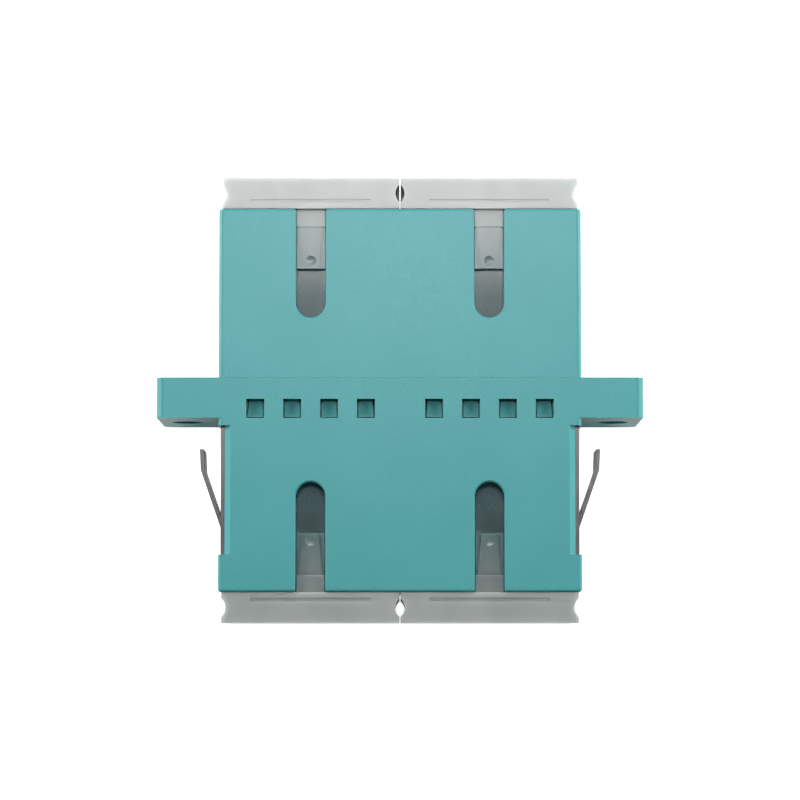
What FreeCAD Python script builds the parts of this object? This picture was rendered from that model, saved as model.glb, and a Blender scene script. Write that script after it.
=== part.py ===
import FreeCAD, Part
import os
import re
import Sketcher

# SC duplex fibre adapter, lying on its back: X runs from ear to ear, Y along the fibres, Z up to the key face.
# The origin is below the middle of the housing, on the plane that its back rests on. Lengths are millimetres.

doc = FreeCAD.newDocument("Adapter")

# Driving dimensions
SIZES = {
    # ports, and the walls round them
    "port_pitch": 12.7,
    "port_width": 9.0,
    "port_height": 7.4,
    "side_wall": 2.05,
    "front_wall": 0.95,
    "stop_length": 1.0,
    "stop_lip": 0.4,
    # housing
    "body_length": 27.3,
    "edge_round": 0.3,
    "end_round": 0.18,
    "witness_width": 0.1,
    "witness_depth": 0.015,
    # ears and their screw holes
    "ear_reach": 4.4,
    "ear_above": 1.58,
    "ear_below": 1.29,
    "ear_round": 0.5,
    "screw_hole": 2.2,
    "screw_edge": 1.95,
    # key slots
    "key_width": 2.12,
    "key_length": 7.8,
    "key_chamfer": 0.1,
    # snap windows
    "window_width": 1.28,
    "window_length": 1.36,
    "window_above": 0.05,
    # recess round the back and sides for the clip, clear of the ears and of the lower end
    "recess_below_ear": 0.55,
    "recess_from_end": 2.65,
    "recess_depth": 0.45,
    "recess_chamfer": 0.43,
    # spring clip
    "sheet": 0.27,
    "clip_gap": 0.02,
    "clip_play": 0.05,
    "leg_drop": 0.6,
    "bend_radius": 0.35,
    "tab_width": 4.0,
    "tab_kerf": 0.2,
    "tab_margin": 1.7,
    "tab_tip_length": 1.5,
    "panel_gap": 2.06,
    "tab_stand": 1.45,
    "tab_flare": 0.07,
    "tab_bend_radius": 1.2,
    # alignment sleeves
    "sleeve_inner": 2.5,
    "sleeve_wall": 0.35,
    "sleeve_length": 11.4,
    "sleeve_slit": 0.5,
    # inner latch holders
    "plate_thick": 1.3,
    "plate_chamfer": 0.4,
    "plate_play": 0.03,
    "stop_gap": 0.02,
    "seat_play": 0.05,
    "sleeve_end_play": 0.1,
    "tube_wall": 0.6,
    "tube_lip": 0.5,
    "lip_play": 0.19,
    "lip_lead": 0.3,
    "arm_play": 0.15,
    "arm_thick": 0.6,
    "arm_width": 3.4,
    "hook_from_tube": 0.7,
    "hook_land": 0.35,
    "hook_depth": 0.55,
    "hook_ramp": 0.95,
    "hook_lead": 0.2,
    # snap nubs
    "nub_play": 0.1,
    "nub_taper": 0.08,
    "nub_gap": 0.09,
    "nub_sink": 0.42,
    "nub_start": 0.3,
    "nub_land": 0.1,
    # dust caps
    "cap_split": 0.06,
    "cap_inset": 0.1,
    "cap_thick": 2.2,
    "cap_lean": 0.2,
    "cap_gap": 0.03,
    "cap_round": 0.08,
    "grip_radius": 0.87,
    "grip_depth": 0.3,
    "grip_place": 1.1,
    "line_length": 8.55,
    "line_width": 0.3,
    "line_depth": 0.07,
    "line_place": 0.55,
    "panel_border": 1.0,
    "panel_depth": 0.4,
    "panel_round": 0.5,
    "gate_width": 0.9,
    "gate_height": 0.12,
    "rim_play": 0.08,
    "rim_depth": 1.25,
    "rim_chamfer": 0.08,
    "lug_play": 0.06,
    "lug_inset": 0.6,
    "neck_inset_side": 0.42,
    "neck_inset_face": 0.45,
    "plug_gap": 1.15,
    "plug_wall": 0.75,
    "leaf_past_key": 0.9,
    "leaf_gap": 0.15,
    "end_wall": 0.8,
    "tongue_root": 1.64,
    "tongue_end": 1.14,
    "tongue_step": 0.12,
    "bed_step": 0.1,
    "dimple_along": 0.81,
    "dimple_share": 0.85,
    "dimple_sink": 0.0104,
}

# Sizes that follow from the driving ones, so that what fits together keeps its clearance
FOLLOWING = {
    "body_width": "port_pitch + port_width + 2 * side_wall",
    "body_height": "port_height + 2 * front_wall",
    "ear_span": "body_width + 2 * ear_reach",
    "screw_spacing": "ear_span - 2 * screw_edge",
    "stop_start": "plate_thick + stop_gap",
    "window_pitch": "(plate_width - nub_width) / 3",
    "recess_start": "ear_below + recess_below_ear",
    "recess_end": "body_length / 2 - recess_from_end",
    "clip_leg": "body_height - leg_drop",
    "tab_root": "recess_end - tab_margin",
    "tab_bend": "tab_tip + tab_tip_length",
    "tab_tip": "ear_below + panel_gap",
    "tab_reach": "body_width / 2 + tab_stand",
    "sleeve_outer": "sleeve_inner + 2 * sleeve_wall",
    "plate_width": "port_width - 2 * plate_play",
    "plate_height": "port_height - 2 * plate_play",
    "sleeve_seat": "sleeve_outer + 2 * seat_play",
    "tube_outer": "sleeve_seat + 2 * tube_wall",
    "tube_end": "sleeve_length / 2 + sleeve_end_play + tube_lip",
    "lip_hole": "sleeve_inner + 2 * lip_play",
    "arm_outer": "port_width / 2 - stop_lip - arm_play",
    "arm_end": "hook_start + hook_land + hook_ramp",
    "hook_start": "tube_end + hook_from_tube",
    "nub_width": "window_width - 2 * nub_play",
    "nub_nose": "nub_width - 2 * nub_taper",
    "nub_length": "window_length - window_above - nub_gap",
    "nub_rise": "front_wall + plate_play - nub_sink",
    "cap_width": "port_pitch - cap_split",
    "cap_height": "body_height - 2 * cap_inset",
    "rim_width": "port_width - 2 * rim_play",
    "rim_height": "port_height - 2 * rim_play",
    "lug_width": "key_width - 2 * lug_play",
    "lug_top": "body_height / 2 - lug_inset",
    "neck_width": "rim_width - 2 * neck_inset_side",
    "neck_height": "rim_height - 2 * neck_inset_face",
    "plug_depth": "body_length / 2 - arm_end - plug_gap",
    "leaf_depth": "key_length + leaf_past_key",
    "leaf_bottom": "tube_outer / 2 + leaf_gap",
    "leaf_thick": "neck_height / 2 - leaf_bottom",
    "hollow_width": "neck_width - 2 * plug_wall",
    "hollow_height": "neck_height - 2 * plug_wall",
    "tongue_top": "lug_top - tongue_step",
    "bed_top": "tongue_top - bed_step",
    "bed_bottom": "neck_height / 2 - end_wall / 2",
    "tongue_length": "plug_depth - rim_depth",
    "dimple_place": "rim_depth + dimple_along * tongue_length",
    "dimple_radius": "dimple_share * tongue_length",
    "dimple_depth": "dimple_sink * dimple_radius",
}

sheet = doc.addObject("Spreadsheet::Sheet", "Sizes")
for row, (alias, size) in enumerate(SIZES.items(), start=1):
    sheet.set(f"A{row}", alias)
    sheet.set(f"B{row}", str(size))
    sheet.setAlias(f"B{row}", alias)
doc.recompute()

# A cut that has to pass its solid goes this much beyond it
CLEAR = "1"


def spread(text):
    """The expression with each following size written out in driving ones."""
    def written(word):
        name = word[0]
        return f"({spread(FOLLOWING[name])})" if name in FOLLOWING else name

    return re.sub(r"[a-z_]+", written, text)


def bound(text):
    """The expression with each driving size read from the sheet."""
    return re.sub(r"[a-z_]+", r"Sizes.\g<0>", spread(text))


def number(text):
    """What the expression comes to now."""
    return float(sheet.evalExpression(spread(text)))


def add_body(label, x="0", y="0", z="0", turned=False):
    """A sub-part at its place, turned half a turn about Z where it faces the lower end."""
    body = doc.addObject("PartDesign::Body", label)
    body.Label = label
    turn = FreeCAD.Rotation(FreeCAD.Vector(0, 0, 1), 180 if turned else 0)
    body.Placement = FreeCAD.Placement(FreeCAD.Vector(), turn)
    for axis, text in zip("xyz", (x, y, z)):
        body.setExpression(f"Placement.Base.{axis}", bound(text))
    return body


def origin_plane(body, plane):
    return next(f for f in body.Origin.OriginFeatures if f.Role == plane + "_Plane")


def add_sketch(body, name, plane, place="0"):
    """A sketch on one of the body's own planes, moved along the third axis to its place."""
    sketch = body.newObject("Sketcher::SketchObject", name)
    sketch.AttachmentSupport = (origin_plane(body, plane), [""])
    sketch.MapMode = "FlatFace"
    # the XZ plane's normal points to -Y
    side = "-1" if plane == "XZ" else "1"
    sketch.setExpression("AttachmentOffset.Base.z", bound(f"{side} * ({place})"))
    return sketch


def hold(sketch, kind, curve, end, text):
    """A dimension read from the sheet."""
    where = (curve,) if end is None else (curve, end)
    index = sketch.addConstraint(Sketcher.Constraint(kind, *where, number(text)))
    sketch.setExpression(f"Constraints[{index}]", bound(text))


def draw_polygon(sketch, corners):
    """A closed outline of straight lines with every corner dimensioned."""
    first = sketch.GeometryCount
    points = [FreeCAD.Vector(number(x), number(y), 0) for x, y in corners]
    for start, end in zip(points, points[1:] + points[:1]):
        sketch.addGeometry(Part.LineSegment(start, end))
    for i, (x, y) in enumerate(corners):
        following = first + (i + 1) % len(corners)
        sketch.addConstraint(Sketcher.Constraint("Coincident", first + i, 2, following, 1))
        hold(sketch, "DistanceX", first + i, 1, x)
        hold(sketch, "DistanceY", first + i, 1, y)


def draw_rectangle(sketch, left, right, low, high):
    draw_polygon(sketch, [(left, low), (right, low), (right, high), (left, high)])


def draw_centred(sketch, width, height, x="0", y="0"):
    draw_rectangle(
        sketch,
        f"{x} - ({width}) / 2",
        f"{x} + ({width}) / 2",
        f"{y} - ({height}) / 2",
        f"{y} + ({height}) / 2",
    )


def draw_circle(sketch, diameter, x="0", y="0"):
    centre = FreeCAD.Vector(number(x), number(y), 0)
    curve = sketch.addGeometry(Part.Circle(centre, FreeCAD.Vector(0, 0, 1), number(diameter) / 2))
    hold(sketch, "DistanceX", curve, 3, x)
    hold(sketch, "DistanceY", curve, 3, y)
    hold(sketch, "Diameter", curve, None, diameter)


def extrude(body, kind, sketch, length, symmetric=False, reverse=False):
    """A Pad along the sketch's normal or a Pocket against it, checked to have changed the solid."""
    doc.recompute()
    before = body.Shape.Volume if not body.Shape.isNull() else 0
    feature = body.newObject("PartDesign::" + kind, f"{body.Label}_{sketch.Label}_{kind.lower()}")
    feature.Profile = sketch
    feature.SideType = "Symmetric" if symmetric else "One side"
    feature.Reversed = reverse
    feature.setExpression("Length", bound(length))
    doc.recompute()
    gained = feature.Shape.Volume - before
    if gained * (1 if kind == "Pad" else -1) <= 0:
        raise RuntimeError(f"{feature.Label} changes nothing")
    return feature


def dress(body, kind, size, names):
    """A Chamfer or Fillet on named edges or faces of the body's latest feature."""
    feature = body.newObject("PartDesign::" + kind, f"{body.Label}_{kind.lower()}")
    feature.Base = (feature.BaseFeature or body.Tip, names)
    feature.setExpression("Size" if kind == "Chamfer" else "Radius", bound(size))
    doc.recompute()
    return feature


def faces_towards(shape, direction):
    """Names of the flat faces that look this way."""
    way = FreeCAD.Vector(*direction)
    return [
        f"Face{i}"
        for i, face in enumerate(shape.Faces, start=1)
        if isinstance(face.Surface, Part.Plane) and face.normalAt(0, 0).isEqual(way, 1e-6)
    ]


def edges_where(shape, wanted):
    """Names of the edges whose bounding box passes the test."""
    return [f"Edge{i}" for i, edge in enumerate(shape.Edges, start=1) if wanted(edge.BoundBox)]


PORTS = {"left": "-1", "right": "1"}
ENDS = {"upper": False, "lower": True}


def port_centre(side):
    return f"{side} * port_pitch / 2"


def build_housing():
    """One moulding: block, ears, ports with a stop in each, key slots, windows, holes and clip recess."""
    body = add_body("housing", z="body_height / 2")

    sketch = add_sketch(body, "block", "XZ")
    draw_centred(sketch, "body_width", "body_height")
    extrude(body, "Pad", sketch, "body_length", symmetric=True)
    dress(body, "Fillet", "edge_round", edges_where(body.Tip.Shape, lambda box: box.YLength > 1e-4))
    ends = faces_towards(body.Tip.Shape, (0, 1, 0)) + faces_towards(body.Tip.Shape, (0, -1, 0))
    dress(body, "Fillet", "end_round", ends)

    sketch = add_sketch(body, "ears", "XZ", "ear_above")
    draw_centred(sketch, "ear_span", "body_height")
    extrude(body, "Pad", sketch, "ear_above + ear_below")
    ear_end = number("ear_span / 2") - 1e-4
    ear_corners = edges_where(
        body.Tip.Shape,
        lambda box: max(-box.XMax, box.XMin) > ear_end and box.YLength > 1e-4,
    )
    dress(body, "Fillet", "ear_round", ear_corners)

    # the mould halves leave a witness line on the key face, level with the tops of the ears
    sketch = add_sketch(body, "witness_line", "XY", "body_height / 2")
    draw_centred(sketch, "body_width - 2 * edge_round", "witness_width", y="ear_above - witness_width / 2")
    extrude(body, "Pocket", sketch, "witness_depth")

    for name, start, length, lip in (
        ("lower_ports", "-body_length / 2", "body_length / 2 + stop_start", "0"),
        ("stops", "stop_start", "stop_length", "stop_lip"),
        ("upper_ports", "stop_start + stop_length", "body_length / 2 - stop_start - stop_length", "0"),
    ):
        sketch = add_sketch(body, name, "XZ", start)
        for side in PORTS.values():
            draw_centred(sketch, f"port_width - 2 * {lip}", f"port_height - 2 * {lip}", x=port_centre(side))
        extrude(body, "Pocket", sketch, length)

    key_end = "(body_length / 2 - key_length + key_width / 2)"
    slots = add_sketch(body, "keys", "XY", "body_height / 2")
    slot_ends = add_sketch(body, "key_ends", "XY", "body_height / 2")
    for side in PORTS.values():
        x = port_centre(side)
        for end in ("", "-"):
            length = f"{key_end} - body_length / 2 - {CLEAR}"
            draw_centred(slots, "key_width", length, x, f"{end}({key_end} - ({length}) / 2)")
            draw_circle(slot_ends, "key_width", x, end + key_end)
    extrude(body, "Pocket", slots, "front_wall")
    extrude(body, "Pocket", slot_ends, "front_wall")

    front = number("body_height / 2") - 0.01
    slot_inner, slot_outer = number("(port_pitch - key_width) / 2"), number("(port_pitch + key_width) / 2")

    def on_slot(box):
        across = sorted((abs(box.XMin), abs(box.XMax)))
        beside = slot_inner - 0.01 < across[0] and across[1] < slot_outer + 0.01
        return box.ZMin > front and beside and abs(box.YMin + box.YMax) > number("2 * ear_above")

    dress(body, "Chamfer", "key_chamfer", edges_where(body.Tip.Shape, on_slot))

    sketch = add_sketch(body, "windows", "XY", "body_height / 2")
    for side in PORTS.values():
        for place in ("-1.5", "-0.5", "0.5", "1.5"):
            x = f"{port_centre(side)} + {place} * window_pitch"
            draw_centred(sketch, "window_width", "window_length", x, "window_above - window_length / 2")
    extrude(body, "Pocket", sketch, "front_wall")

    sketch = add_sketch(body, "screw_holes", "XZ")
    for side in PORTS.values():
        draw_circle(sketch, "screw_hole", f"{side} * screw_spacing / 2")
    extrude(body, "Pocket", sketch, "body_length", symmetric=True)

    sketch = add_sketch(body, "recess", "XZ", "-recess_end")
    inner_x, inner_z = "(body_width / 2 - recess_depth)", "(body_height / 2 - recess_depth)"
    outer_x, outer_z = f"(body_width / 2 + {CLEAR})", f"(body_height / 2 + {CLEAR})"
    half = [
        (f"({inner_x} - recess_chamfer - {CLEAR})", outer_z),
        (inner_x, "(body_height / 2 - recess_chamfer)"),
        (inner_x, f"(recess_chamfer - {inner_z})"),
        (f"({inner_x} - recess_chamfer)", f"-{inner_z}"),
    ]
    inside = half + [("-" + x, z) for x, z in reversed(half)]
    outside = [("-" + outer_x, outer_z), ("-" + outer_x, "-" + outer_z)]
    draw_polygon(sketch, inside + outside + [(outer_x, "-" + outer_z), (outer_x, outer_z)])
    extrude(body, "Pocket", sketch, "recess_end - recess_start")
    return body


def build_clip():
    """A folded strip round the back of the housing, with a spring tab lanced out of each leg."""
    body = add_body("spring_clip")
    inner_x = "(body_width / 2 - recess_depth + clip_gap)"
    inner_z = "(recess_depth - clip_gap)"
    outer_x, outer_z = f"({inner_x} + sheet)", f"({inner_z} - sheet)"

    sketch = add_sketch(body, "strip", "XZ", "-recess_start - clip_play")
    outer = [("-" + outer_x, "clip_leg"), ("-" + outer_x, outer_z), (outer_x, outer_z), (outer_x, "clip_leg")]
    inner = [(inner_x, "clip_leg"), (inner_x, inner_z), ("-" + inner_x, inner_z), ("-" + inner_x, "clip_leg")]
    draw_polygon(sketch, outer + inner)
    extrude(body, "Pad", sketch, "recess_end - recess_start - 2 * clip_play")

    for z, radius in ((inner_z, "bend_radius"), (outer_z, "bend_radius + sheet")):
        height = number(z)
        bends = edges_where(
            body.Tip.Shape,
            lambda box: abs(box.ZMin - height) < 1e-4 and box.ZLength < 1e-4 and box.XLength < 1e-4,
        )
        dress(body, "Fillet", radius, bends)

    middle = "body_height / 2"
    sketch = add_sketch(body, "lance", "YZ")
    width = "tab_width + 2 * tab_kerf"
    low, high = f"{middle} - ({width}) / 2", f"{middle} + ({width}) / 2"
    draw_rectangle(sketch, "-tab_root", "-tab_tip + tab_kerf", low, high)
    extrude(body, "Pocket", sketch, "2 * body_width", symmetric=True)

    sketch = add_sketch(body, "tabs", "XY", f"{middle} - tab_width / 2")
    outline = [
        (outer_x, "-tab_root - sheet"),
        (outer_x, "-tab_root"),
        ("(tab_reach - tab_flare)", "-tab_bend"),
        ("tab_reach", "-tab_tip"),
        ("(tab_reach - sheet)", "-tab_tip"),
        ("(tab_reach - tab_flare - sheet)", "-tab_bend"),
        (inner_x, "-tab_root"),
        (inner_x, "-tab_root - sheet"),
    ]
    for sign in ("", "-"):
        draw_polygon(sketch, [(sign + x, y) for x, y in outline])
    extrude(body, "Pad", sketch, "tab_width")
    bend = -number("tab_bend")
    bends = edges_where(body.Tip.Shape, lambda box: abs(box.YMin - bend) < 1e-4 and box.YLength < 1e-4)
    dress(body, "Fillet", "tab_bend_radius", bends)
    return body


def build_holder(end, side, port, snaps):
    """Half of a port's inner holder: plate, sleeve tube and two latch arms, with snap nubs on the lower one."""
    label = f"latch_holder_{end}_{side}"
    body = add_body(label, x=port_centre(port), z="body_height / 2", turned=ENDS[end])

    sketch = add_sketch(body, "plate", "XZ")
    draw_centred(sketch, "plate_width", "plate_height")
    extrude(body, "Pad", sketch, "plate_thick", reverse=True)
    dress(body, "Chamfer", "plate_chamfer", edges_where(body.Tip.Shape, lambda box: box.YLength > 1e-4))

    sketch = add_sketch(body, "tube", "XZ")
    draw_circle(sketch, "tube_outer")
    extrude(body, "Pad", sketch, "tube_end", reverse=True)

    sketch = add_sketch(body, "arms", "XY", "-arm_width / 2")
    arm = [
        ("arm_outer", "0"),
        ("arm_outer", "arm_end"),
        ("(arm_outer - arm_thick + hook_lead)", "arm_end"),
        ("(arm_outer - arm_thick - hook_depth)", "hook_start + hook_land"),
        ("(arm_outer - arm_thick - hook_depth)", "hook_start"),
        ("(arm_outer - arm_thick)", "hook_start"),
        ("(arm_outer - arm_thick)", "0"),
    ]
    for sign in ("", "-"):
        draw_polygon(sketch, [(sign + x, y) for x, y in arm])
    extrude(body, "Pad", sketch, "arm_width")

    if snaps:
        face = "plate_height / 2"
        sketch = add_sketch(body, "nubs", "XY", f"{face} - plate_chamfer / 2")
        for place in ("-1.5", "-0.5", "0.5", "1.5"):
            x = f"{place} * window_pitch"
            near, far = f"{x} - nub_nose / 2", f"{x} - nub_width / 2"
            far_right, near_right = f"{x} + nub_width / 2", f"{x} + nub_nose / 2"
            outline = [(near, "0"), (near_right, "0"), (far_right, "nub_length"), (far, "nub_length")]
            draw_polygon(sketch, outline)
        extrude(body, "Pad", sketch, "nub_rise + plate_chamfer / 2")

        sketch = add_sketch(body, "ramp", "YZ")
        top = f"{face} + nub_rise"
        above = f"{top} + {CLEAR}"
        start = f"{face} + nub_start"
        ramp = [(f"-{CLEAR}", start), ("0", start), ("nub_length - nub_land", top)]
        draw_polygon(sketch, ramp + [("nub_length - nub_land", above), (f"-{CLEAR}", above)])
        extrude(body, "Pocket", sketch, "2 * plate_width", symmetric=True)

    for name, diameter, length in (
        ("seat", "sleeve_seat", "tube_end - tube_lip"),
        ("lip", "lip_hole", "tube_end"),
    ):
        sketch = add_sketch(body, name, "XZ")
        draw_circle(sketch, diameter)
        extrude(body, "Pocket", sketch, length)
    mouth, wide = number("tube_end"), number("lip_hole") + 1e-4
    lip = edges_where(
        body.Tip.Shape,
        lambda box: abs(box.YMin - mouth) < 1e-4 and box.YLength < 1e-4 and box.XLength < wide,
    )
    dress(body, "Chamfer", "lip_lead", lip)
    return body


def build_sleeve(side, port):
    """A split sleeve across the middle of a port."""
    body = add_body(f"alignment_sleeve_{side}", x=port_centre(port), z="body_height / 2")
    sketch = add_sketch(body, "ring", "XZ")
    draw_circle(sketch, "sleeve_outer")
    draw_circle(sketch, "sleeve_inner")
    extrude(body, "Pad", sketch, "sleeve_length", symmetric=True)
    sketch = add_sketch(body, "slit", "XY")
    draw_centred(sketch, "sleeve_slit", f"sleeve_length + 2 * {CLEAR}")
    extrude(body, "Pocket", sketch, "sleeve_outer", reverse=True)
    return body


def build_cap(end, side, port):
    """A dust cap: grooved flange, rim with a key lug in the mouth, and a hollow neck with tongue and leaves."""
    y = "-body_length / 2" if ENDS[end] else "body_length / 2"
    label = f"dust_cap_{end}_{side}"
    body = add_body(label, x=port_centre(port), y=y, z="body_height / 2", turned=ENDS[end])

    # the outer end leans in a little towards the back
    sketch = add_sketch(body, "flange", "YZ")
    key_side = [("cap_gap", "cap_height / 2"), ("cap_gap + cap_thick", "cap_height / 2")]
    back_side = [("cap_gap + cap_thick - cap_lean", "-cap_height / 2"), ("cap_gap", "-cap_height / 2")]
    draw_polygon(sketch, key_side + back_side)
    extrude(body, "Pad", sketch, "cap_width", symmetric=True)
    outer_end = number("cap_gap + cap_thick - cap_lean") - 1e-4
    dress(body, "Fillet", "cap_round", edges_where(body.Tip.Shape, lambda box: box.YMin > outer_end))

    # it is a sunk panel with round corners, and the stub of the mould's gate in its middle
    sketch = add_sketch(body, "panel", "XZ", "cap_gap + cap_thick")
    draw_centred(sketch, "cap_width - 2 * panel_border", "cap_height - 2 * panel_border")
    extrude(body, "Pocket", sketch, "panel_depth", reverse=True)
    sunk = number("cap_gap + cap_thick - panel_depth")
    corners = edges_where(
        body.Tip.Shape,
        lambda box: abs(box.YMin - sunk) < 1e-4 and box.YLength > 1e-4 and box.XLength + box.ZLength < 1e-4,
    )
    dress(body, "Fillet", "panel_round", corners)
    sketch = add_sketch(body, "gate", "XZ", "cap_gap + cap_thick - panel_depth")
    draw_circle(sketch, "gate_width")
    extrude(body, "Pad", sketch, "gate_height", reverse=True)

    sketch = add_sketch(body, "rim", "XZ", "cap_gap")
    key = [("lug_width / 2", "rim_height / 2"), ("lug_width / 2", "lug_top")]
    corner = [("rim_width / 2", "-rim_height / 2"), ("rim_width / 2", "rim_height / 2")]
    right = corner + key
    draw_polygon(sketch, right + [("-" + x, z) for x, z in reversed(right)])
    extrude(body, "Pad", sketch, "rim_depth + cap_gap")
    inner_end = number("-rim_depth")
    around_end = edges_where(
        body.Tip.Shape, lambda box: abs(box.YMin - inner_end) < 1e-4 and box.YLength < 1e-4
    )
    dress(body, "Chamfer", "rim_chamfer", around_end)

    sketch = add_sketch(body, "neck", "XZ", "-rim_depth")
    draw_centred(sketch, "neck_width", "neck_height")
    extrude(body, "Pad", sketch, "tongue_length")

    # a leaf goes on over the sleeve's tube and another below it, past the end of the key slot
    sketch = add_sketch(body, "leaves", "XZ", "-plug_depth")
    for sign in PORTS.values():
        draw_centred(sketch, "neck_width", "leaf_thick", y=f"{sign} * (leaf_bottom + leaf_thick / 2)")
    extrude(body, "Pad", sketch, "leaf_depth - plug_depth")

    # a bed as wide as the lug carries the tongue
    sketch = add_sketch(body, "bed", "XY", "bed_bottom")
    draw_centred(sketch, "lug_width", "tongue_length", y="-rim_depth - tongue_length / 2")
    extrude(body, "Pad", sketch, "bed_top - bed_bottom")

    sketch = add_sketch(body, "tongue", "XY", "bed_bottom")
    root = [("-tongue_root / 2", "-rim_depth"), ("tongue_root / 2", "-rim_depth")]
    draw_polygon(sketch, root + [("tongue_end / 2", "-plug_depth"), ("-tongue_end / 2", "-plug_depth")])
    extrude(body, "Pad", sketch, "tongue_top - bed_bottom")

    dimple = body.newObject("PartDesign::SubtractiveSphere", f"{label}_dimple")
    dimple.setExpression("Radius", bound("dimple_radius"))
    dimple.AttachmentSupport = (origin_plane(body, "XY"), [""])
    dimple.MapMode = "FlatFace"
    dimple.setExpression("AttachmentOffset.Base.y", bound("-dimple_place"))
    dimple.setExpression("AttachmentOffset.Base.z", bound("tongue_top + dimple_radius - dimple_depth"))

    sketch = add_sketch(body, "hollow", "XZ", "-plug_depth")
    draw_centred(sketch, "hollow_width", "hollow_height")
    extrude(body, "Pocket", sketch, "plug_depth + cap_gap + cap_thick - end_wall")

    sketch = add_sketch(body, "grips", "XY")
    for sign in PORTS.values():
        x = f"{sign} * (cap_width / 2 + grip_radius - grip_depth)"
        draw_circle(sketch, "2 * grip_radius", x, "grip_place")
    extrude(body, "Pocket", sketch, "2 * cap_height", symmetric=True)

    for name, face, back in (("front_line", "cap_height / 2", False), ("back_line", "-cap_height / 2", True)):
        sketch = add_sketch(body, name, "XY", face)
        draw_centred(sketch, "line_length", "line_width", y="line_place")
        extrude(body, "Pocket", sketch, "line_depth", reverse=back)
    return body


pieces = [build_housing(), build_clip()]
for side, port in PORTS.items():
    pieces.append(build_sleeve(side, port))
    for end in ENDS:
        pieces.append(build_holder(end, side, port, snaps=end == "lower"))
        pieces.append(build_cap(end, side, port))
doc.recompute()

for obj in doc.Objects:
    if {"Invalid", "Error"} & set(obj.State):
        raise RuntimeError(f"{obj.Label} is {obj.State}")
os.makedirs("parts", exist_ok=True)
for piece in pieces:
    shape = piece.Shape
    if shape.isNull() or not shape.isValid() or len(shape.Solids) != 1:
        raise RuntimeError(f"{piece.Label} is not one valid solid")
    shape.exportStep(f"parts/{piece.Label}.step")
    print(piece.Label, f"{shape.Volume:.2f} mm3", shape.BoundBox)
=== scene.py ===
import math
import bpy
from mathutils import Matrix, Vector


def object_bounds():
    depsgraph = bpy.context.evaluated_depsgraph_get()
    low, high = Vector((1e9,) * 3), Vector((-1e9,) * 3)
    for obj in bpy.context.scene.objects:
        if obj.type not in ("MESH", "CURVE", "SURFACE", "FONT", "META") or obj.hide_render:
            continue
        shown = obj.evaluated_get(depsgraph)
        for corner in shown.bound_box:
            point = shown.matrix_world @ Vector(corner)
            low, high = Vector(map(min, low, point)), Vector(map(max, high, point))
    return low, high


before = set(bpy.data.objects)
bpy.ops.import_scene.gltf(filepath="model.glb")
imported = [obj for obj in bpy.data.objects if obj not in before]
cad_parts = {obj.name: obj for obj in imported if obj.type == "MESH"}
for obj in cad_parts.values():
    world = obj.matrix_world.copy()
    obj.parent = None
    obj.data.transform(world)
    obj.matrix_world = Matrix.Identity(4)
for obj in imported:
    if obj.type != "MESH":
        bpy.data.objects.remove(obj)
cad_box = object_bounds()

MM = 0.001

# The point on the key face that the camera and the lights aim at
AIM = Vector((0, -0.04 * MM, cad_box[1].z))

# The line where the mould's halves meet, and how far the lighter shade above it and the darker one below
# run into each other
PARTING_Y = 1.53 * MM
PARTING_BLEND = 0.1 * MM

# Distances along the fibres from the adapter's middle, over which the caps' painted shade (a dark aqua
# deep in the port) and their frost fade out
PORT_SHADE_FADE = (6.5 * MM, 13.0 * MM)
FROST_FADE = (7.6 * MM, 9.6 * MM)
FROST_ROUGHNESS = 0.09

# The middle range of a noise, which holds nearly all of its values
NOISE_RANGE = (0.3, 0.7)

# The colour sockets of a Mix node, which share their names with its other sockets
MIX_FIRST = 6
MIX_SECOND = 7
MIX_RESULT = 2

# Camera: looks down on the key face, tipped a little so that the undersides of the ears show
CAMERA_TILT = math.radians(4.7)
CAMERA_DISTANCE = 255 * MM
CAMERA_LENS = 161.6
CAMERA_CLIP = 1 * MM

# White surroundings: their sizes, and how bright each is of its own
FLOOR_WIDTH = 1200 * MM
FLOOR_GLOW = 0.95
CARD_DROP = 0.5 * MM
CARD_GLOW = 0.12
DOME_RADIUS = 2000 * MM
DOME_GLOW = 1.0
COVE_RADIUS = 600 * MM
COVE_HEIGHT = 240 * MM
COVE_SIDES = 64
COVE_GLOW = 0.7
WORLD_GLOW = 0.04
RAYS = ("camera", "diffuse", "glossy", "transmission", "shadow")

# Panels of light: the places of their middles, their widths and heights, and their watts
SIDE_PLACE = (158 * MM, 70 * MM, 85 * MM)
SIDE_SIZE = (100 * MM, 100 * MM)
SIDE_POWER = 0.35
ABOVE_PLACE = (0, 47 * MM, 209 * MM)
ABOVE_SIZE = (70 * MM, 42 * MM)
ABOVE_POWER = 0.075
FRONT_PLACE = (0, -260 * MM, 90 * MM)
FRONT_SIZE = (220 * MM, 110 * MM)
FRONT_POWER = 0.31


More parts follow.
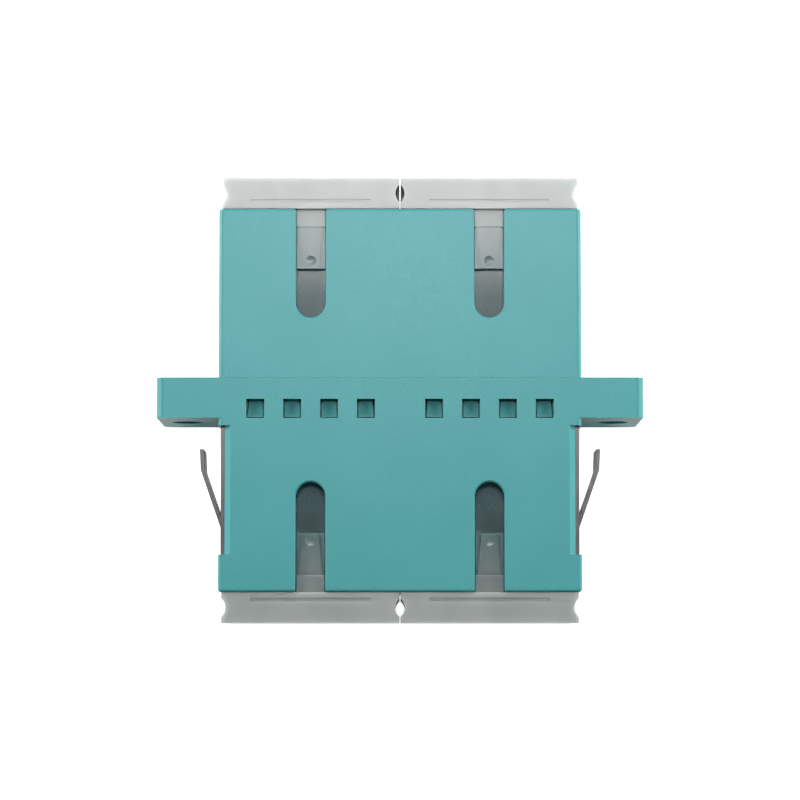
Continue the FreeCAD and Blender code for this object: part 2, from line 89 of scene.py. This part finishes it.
class Shader:
    """A node material with one Principled shader, and short calls to add what feeds it."""

    def __init__(self, name, **inputs):
        self.material = bpy.data.materials.new(name)
        self.material.use_nodes = True
        self.tree = self.material.node_tree
        self.surface = self.tree.nodes["Principled BSDF"]
        for socket, value in inputs.items():
            self.surface.inputs[socket.replace("_", " ")].default_value = value
        self.place = self.node("ShaderNodeTexCoord").outputs["Object"]

    def node(self, kind, **settings):
        node = self.tree.nodes.new(kind)
        for name, value in settings.items():
            setattr(node, name, value)
        return node

    def link(self, output, socket):
        self.tree.links.new(output, socket)

    def feed(self, socket, output):
        """Links an output to one of the Principled shader's sockets."""
        self.link(output, self.surface.inputs[socket])

    def along_fibres(self):
        """The object's Y coordinate as a number."""
        split = self.node("ShaderNodeSeparateXYZ")
        self.link(self.place, split.inputs["Vector"])
        return split.outputs["Y"]

    def drawn_out(self, scale):
        """The object's coordinates with Y scaled, to draw a noise's spots out along the fibres."""
        mapping = self.node("ShaderNodeMapping")
        mapping.inputs["Scale"].default_value = (1, scale, 1)
        self.link(self.place, mapping.inputs["Vector"])
        return mapping.outputs["Vector"]

    def noise(self, spot, detail=2, place=None):
        """Noise whose spots are about this many metres across."""
        noise = self.node("ShaderNodeTexNoise")
        noise.inputs["Scale"].default_value = 1 / spot
        noise.inputs["Detail"].default_value = detail
        self.link(place or self.place, noise.inputs["Vector"])
        return noise.outputs["Fac"]

    def ranged(self, value, low, high, between=NOISE_RANGE):
        """A number that goes from low to high while the value goes over a range."""
        spread = self.node("ShaderNodeMapRange")
        numbers = (*between, low, high)
        for name, number in zip(("From Min", "From Max", "To Min", "To Max"), numbers):
            spread.inputs[name].default_value = number
        self.link(value, spread.inputs["Value"])
        return spread.outputs["Result"]

    def tones(self, noise, first, last):
        """A colour that goes from first to last over a noise's middle range."""
        ramp = self.node("ShaderNodeValToRGB")
        for element, position, colour in zip(ramp.color_ramp.elements, NOISE_RANGE, (first, last)):
            element.position = position
            element.color = (*colour, 1)
        self.link(noise, ramp.inputs["Fac"])
        return ramp.outputs["Color"]

    def mixed(self, factor, first, second):
        """The first colour where the factor is 0, and the second where it is 1."""
        mix = self.node("ShaderNodeMix", data_type="RGBA")
        self.link(factor, mix.inputs["Factor"])
        self.link(first, mix.inputs[MIX_FIRST])
        self.link(second, mix.inputs[MIX_SECOND])
        return mix.outputs[MIX_RESULT]

    def calculated(self, operation, *values):
        """A sum or another operation on numbers."""
        result = self.node("ShaderNodeMath", operation=operation)
        for socket, value in zip(result.inputs, values):
            self.link(value, socket)
        return result.outputs["Value"]

    def bump(self, height, depth, strength):
        """Normals of a relief of this depth in metres."""
        bump = self.node("ShaderNodeBump")
        bump.inputs["Strength"].default_value = strength
        bump.inputs["Distance"].default_value = depth
        self.link(height, bump.inputs["Height"])
        return bump.outputs["Normal"]


def aqua_plastic():
    """Fine spark-eroded moulding texture, with the half above the parting line a shade lighter than the
    half below.
    """
    shader = Shader("aqua_plastic", IOR=1.47)
    cloud = shader.noise(5 * MM, detail=3)
    lower = shader.tones(cloud, first=(0.070, 0.362, 0.374), last=(0.078, 0.382, 0.394))
    upper = shader.tones(cloud, first=(0.076, 0.374, 0.386), last=(0.084, 0.394, 0.406))
    parting = (PARTING_Y - PARTING_BLEND, PARTING_Y + PARTING_BLEND)
    half = shader.ranged(shader.along_fibres(), low=0, high=1, between=parting)
    shader.feed("Base Color", shader.mixed(half, lower, upper))
    grain = shader.noise(0.11 * MM, detail=3)
    shader.feed("Roughness", shader.ranged(grain, low=0.26, high=0.36))
    shader.feed("Normal", shader.bump(grain, depth=0.006 * MM, strength=0.4))
    return shader.material


def cap_plastic():
    """Milky polyethylene with faint flow clouds: polished outside, frosted deep in the port, with painted
    shade there: a dark aqua that stands in for the dim, housing-coloured light inside.
    """
    shader = Shader(
        "cap_plastic",
        IOR=1.51,
        Subsurface_Weight=1.0,
        Subsurface_Scale=1.3 * MM,
        Subsurface_Radius=(1.0, 0.98, 0.95),
    )
    flow = shader.noise(2.4 * MM, detail=4, place=shader.drawn_out(scale=0.45))
    milky = shader.tones(flow, first=(0.345, 0.373, 0.364), last=(0.39, 0.419, 0.41))
    # Painted shade: a dark aqua standing in for the dim, housing-coloured light deep inside the port
    painted_port_shade = shader.tones(flow, first=(0.055, 0.17, 0.195), last=(0.07, 0.195, 0.22))
    from_middle = shader.calculated("ABSOLUTE", shader.along_fibres())
    # How much painted shade: all of it deep in the port, fading to none towards the caps' outer ends
    port_shade_amount = shader.ranged(from_middle, low=1, high=0, between=PORT_SHADE_FADE)
    shader.feed("Base Color", shader.mixed(port_shade_amount, milky, painted_port_shade))
    grain = shader.noise(0.16 * MM)
    polish = shader.ranged(grain, low=0.15, high=0.21)
    frost = shader.ranged(from_middle, low=FROST_ROUGHNESS, high=0, between=FROST_FADE)
    shader.feed("Roughness", shader.calculated("ADD", polish, frost))
    shader.feed("Normal", shader.bump(grain, depth=0.002 * MM, strength=0.4))
    return shader.material


def spring_steel():
    """Rolled strip: fine scratches along the fibres and slightly uneven brightness."""
    shader = Shader("spring_steel", Metallic=1.0)
    rolled = shader.noise(0.12 * MM, place=shader.drawn_out(scale=0.1))
    shader.feed("Base Color", shader.tones(rolled, first=(0.17, 0.17, 0.174), last=(0.21, 0.208, 0.206)))
    shader.feed("Roughness", shader.ranged(rolled, low=0.28, high=0.34))
    shader.feed("Normal", shader.bump(rolled, depth=0.001 * MM, strength=0.5))
    return shader.material


def sleeve_ceramic():
    """Ground zirconia, ivory white and close to polished."""
    shader = Shader("sleeve_ceramic", IOR=2.1)
    ground = shader.noise(0.06 * MM, detail=3, place=shader.drawn_out(scale=0.2))
    shader.feed("Base Color", shader.tones(ground, first=(0.80, 0.785, 0.74), last=(0.88, 0.87, 0.83)))
    shader.feed("Roughness", shader.ranged(ground, low=0.16, high=0.28))
    return shader.material


def plain_white(name, glow):
    """Matt white that is a little bright of its own."""
    shader = Shader(name, Roughness=0.9, Emission_Color=(1, 1, 1, 1), Emission_Strength=glow)
    cloud = shader.noise(30 * MM)
    shader.feed("Base Color", shader.tones(cloud, first=(0.86, 0.86, 0.86), last=(0.88, 0.88, 0.88)))
    return shader.material


def nodes_named(prefixes):
    """The CAD nodes whose names start with one of these."""
    return [node for name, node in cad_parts.items() if name.startswith(prefixes)]


def dress(prefixes, material):
    for node in nodes_named(prefixes):
        node.data.materials.clear()
        node.data.materials.append(material)


def stage_white(name, glow, seen_by):
    """Makes the mesh that was added last a white part of the studio that only these rays see."""
    white = bpy.context.object
    white.name = name
    white.data.materials.append(plain_white(name + "_white", glow))
    for ray in RAYS:
        setattr(white, "visible_" + ray, ray in seen_by)


def add_floor():
    """White all round for the camera, over a dimmer card that gives back the light from below."""
    bpy.ops.mesh.primitive_plane_add(size=FLOOR_WIDTH, location=(0, 0, 0))
    stage_white("floor", FLOOR_GLOW, seen_by=("camera",))
    bpy.ops.mesh.primitive_uv_sphere_add(radius=DOME_RADIUS, location=(0, 0, 0))
    stage_white("dome", DOME_GLOW, seen_by=("camera",))
    bpy.ops.mesh.primitive_plane_add(size=FLOOR_WIDTH, location=(0, 0, -CARD_DROP))
    stage_white("bounce_card", CARD_GLOW, seen_by=("diffuse", "glossy", "transmission", "shadow"))


def add_cove():
    """A low white wall all round, for reflections only."""
    bpy.ops.mesh.primitive_cylinder_add(
        radius=COVE_RADIUS,
        depth=COVE_HEIGHT,
        vertices=COVE_SIDES,
        end_fill_type="NOTHING",
        location=(0, 0, COVE_HEIGHT / 2),
    )
    stage_white("cove", COVE_GLOW, seen_by=("glossy",))


def add_light(name, place, size, power, only=None):
    """A rectangular panel that faces the adapter and lights it all, or only the nodes named so."""
    data = bpy.data.lights.new(name, "AREA")
    data.shape = "RECTANGLE"
    data.size, data.size_y = size
    data.energy = power
    light = bpy.data.objects.new(name, data)
    light.location = place
    light.rotation_euler = (AIM - Vector(place)).to_track_quat("-Z", "Y").to_euler()
    bpy.context.scene.collection.objects.link(light)
    if only:
        lit = bpy.data.collections.new(name + "_lit")
        for node in nodes_named(only):
            lit.objects.link(node)
        light.light_linking.receiver_collection = lit


def add_lights():
    """Two sides for the falling light, a veil on the upper caps, and a fill that only the caps take."""
    x, y, z = SIDE_PLACE
    add_light("left", (-x, y, z), SIDE_SIZE, SIDE_POWER)
    add_light("right", (x, y, z), SIDE_SIZE, SIDE_POWER)
    add_light("above", ABOVE_PLACE, ABOVE_SIZE, ABOVE_POWER)
    add_light("front", FRONT_PLACE, FRONT_SIZE, FRONT_POWER, only="dust_cap")


def add_world():
    """A faint even light from everywhere."""
    world = bpy.data.worlds.new("studio")
    world.use_nodes = True
    background = world.node_tree.nodes["Background"]
    background.inputs["Color"].default_value = (1, 1, 1, 1)
    background.inputs["Strength"].default_value = WORLD_GLOW
    bpy.context.scene.world = world


def add_camera():
    camera = bpy.data.objects.new("camera", bpy.data.cameras.new("camera"))
    camera.data.lens = CAMERA_LENS
    camera.data.clip_start = CAMERA_CLIP
    camera.rotation_euler = (CAMERA_TILT, 0, 0)
    away = Vector((0, -math.sin(CAMERA_TILT), math.cos(CAMERA_TILT)))
    camera.location = AIM + CAMERA_DISTANCE * away
    bpy.context.scene.collection.objects.link(camera)
    bpy.context.scene.camera = camera


dress(("housing", "latch_holder"), aqua_plastic())
dress("dust_cap", cap_plastic())
dress("spring_clip", spring_steel())
dress("alignment_sleeve", sleeve_ceramic())

add_floor()
add_cove()
add_lights()
add_world()
add_camera()
bpy.context.scene.view_settings.view_transform = "Standard"
